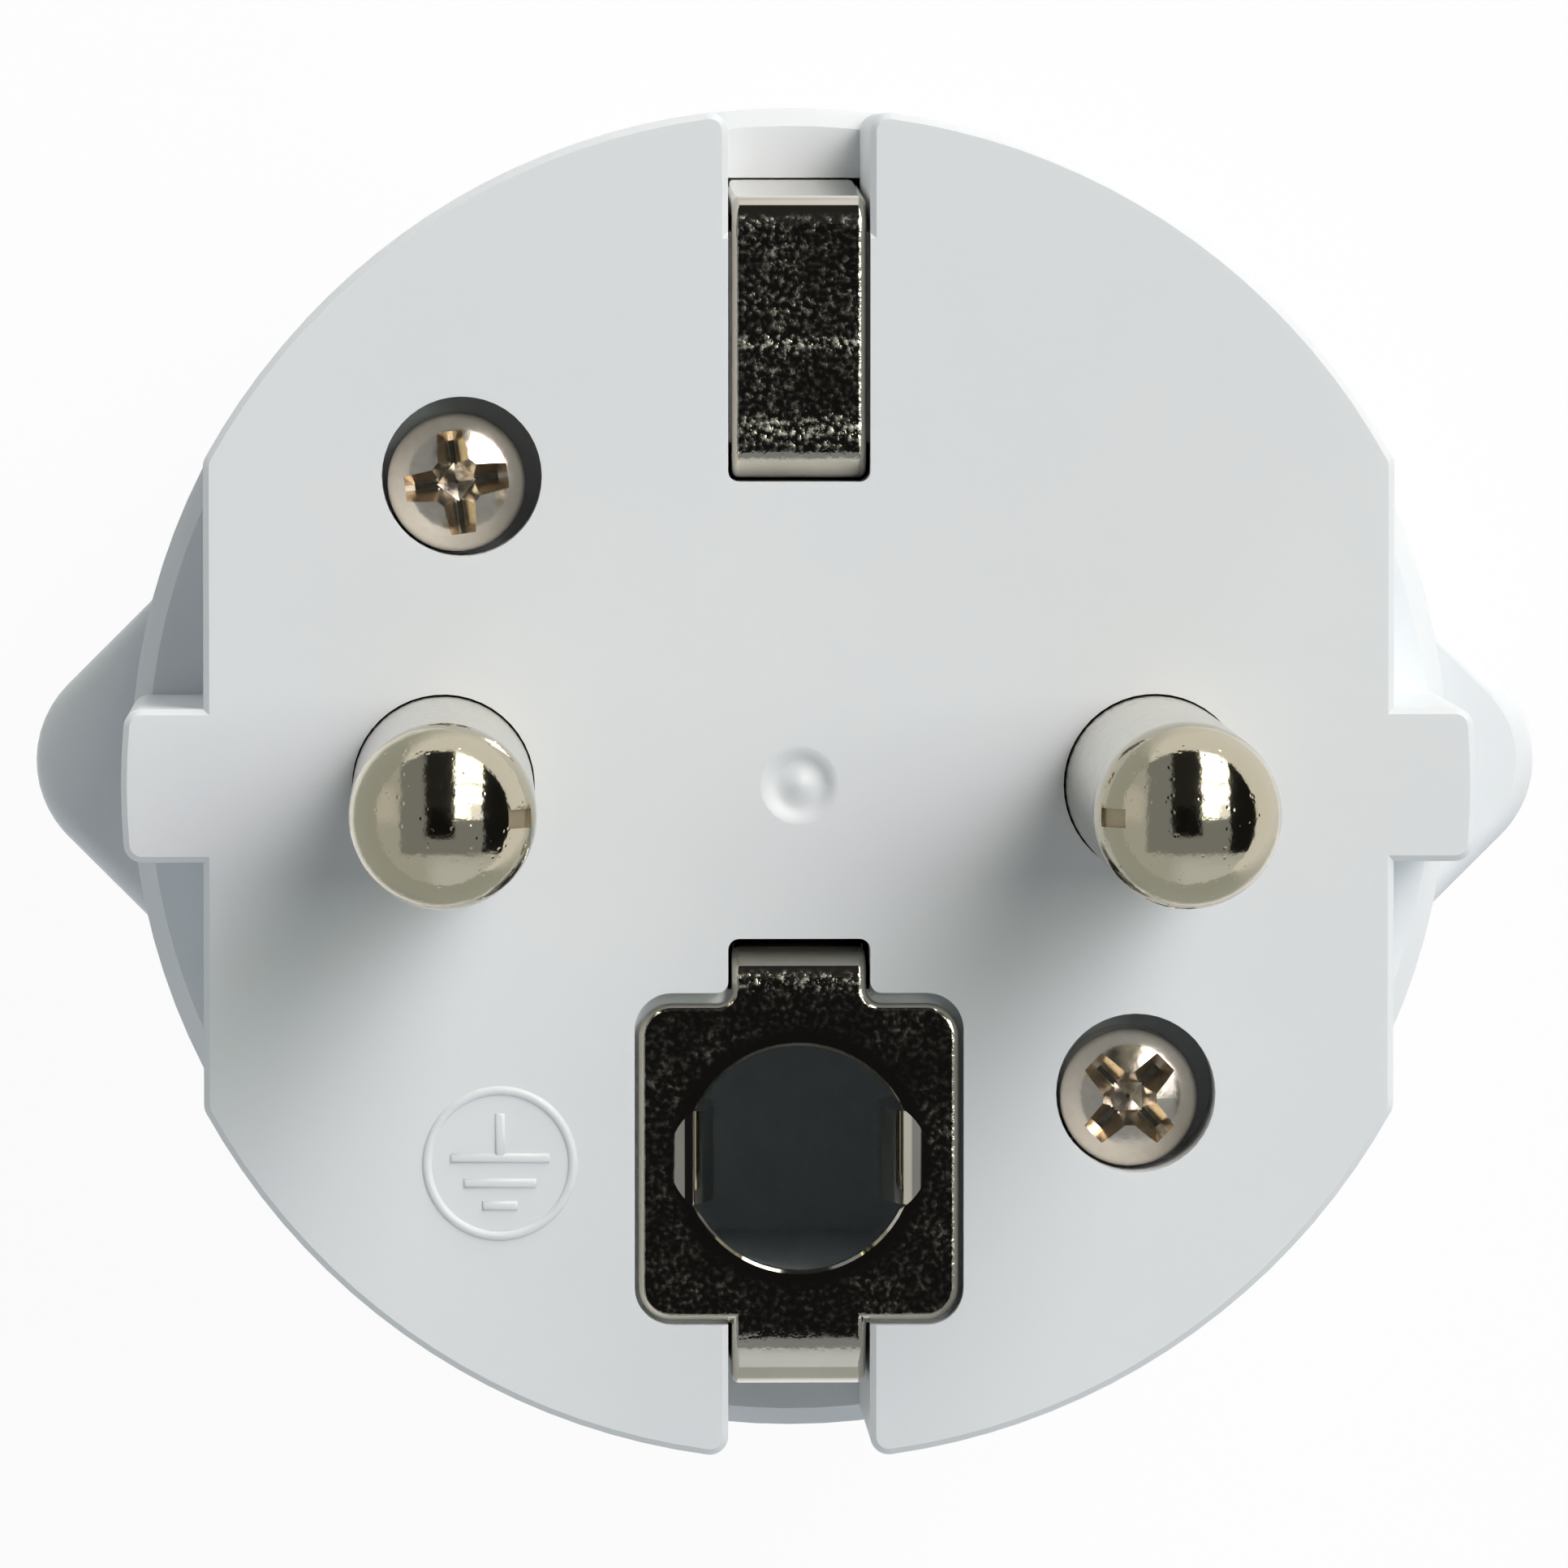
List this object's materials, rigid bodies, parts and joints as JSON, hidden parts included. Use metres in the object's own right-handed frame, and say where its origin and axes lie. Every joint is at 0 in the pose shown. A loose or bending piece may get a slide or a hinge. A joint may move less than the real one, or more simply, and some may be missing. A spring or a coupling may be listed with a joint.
{
  "type": "travel adapter",
  "caption": "White round plug adapter: an earthed round-pin plug face with earth clips in front, and a hexagonal recessed socket with round holes between pointed wings behind.",
  "frame": {"origin": "centre of the socket's rim, under the middle of the plug face", "axes": "+Z towards the plug pins, X through both pins, +Y towards the upper earth clip"},
  "size_m": [0.0416, 0.0362, 0.053],
  "materials": {
    "white_plastic": "fine moulded satin",
    "polished_nickel": "polished nickel plate on brass",
    "strap_nickel": "nickel plated strip, grainy",
    "contact_brass": "bright turned",
    "spring_steel": "satin",
    "screw_nickel": "nickel plated steel"
  },
  "bodies": {
    "root": {"front_shell": "white_plastic", "rear_shell": "white_plastic", "line_pin": "polished_nickel", "neutral_pin": "polished_nickel", "earth_strap": "strap_nickel", "line_sleeve": "contact_brass", "neutral_sleeve": "contact_brass", "earth_sleeve": "contact_brass", "line_spring_ring": "spring_steel", "neutral_spring_ring": "spring_steel", "earth_spring_ring": "spring_steel", "cover_screws": "screw_nickel"}
  },
  "joints": []
}
